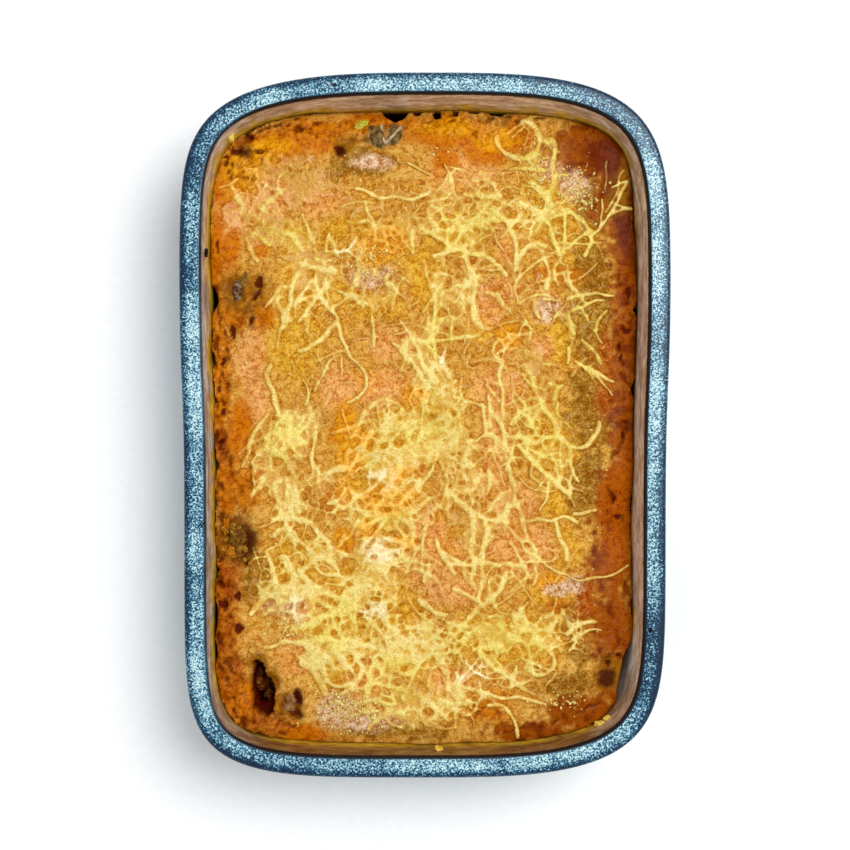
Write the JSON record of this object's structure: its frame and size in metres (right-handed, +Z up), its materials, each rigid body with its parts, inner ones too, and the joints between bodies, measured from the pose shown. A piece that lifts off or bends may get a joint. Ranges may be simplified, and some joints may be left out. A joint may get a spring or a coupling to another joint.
{
  "type": "duck shepherds pie in an oven dish",
  "caption": "Oblong stoneware oven dish with rounded corners and a broad flat rim, filled with duck shepherds pie under sweet potato mash and a net of melted grated cheese.",
  "frame": {"origin": "on the table, under the middle of the dish", "axes": "+X across the dish to the right as seen from above, +Y along its length towards the far end, +Z up"},
  "size_m": [0.1882, 0.27, 0.06],
  "materials": {
    "stoneware_glaze": "glossy speckled blue reactive glaze outside and on the rim, plain beige glaze inside",
    "duck_filling": "dark, wet gravy",
    "sweet_potato_mash": "baked orange mash with a crumbly golden crust",
    "melted_cheese": "melted pale yellow cheese, slightly greasy",
    "duck_meat": "fibrous roasted meat",
    "onion": "cooked translucent onion"
  },
  "bodies": {
    "root": {"dish": "stoneware_glaze", "filling": "duck_filling", "mash_topping": "sweet_potato_mash", "duck_piece_back": "duck_meat", "duck_piece_side": "duck_meat", "duck_piece_front": "duck_meat", "onion_slice": "onion"}
  },
  "joints": []
}
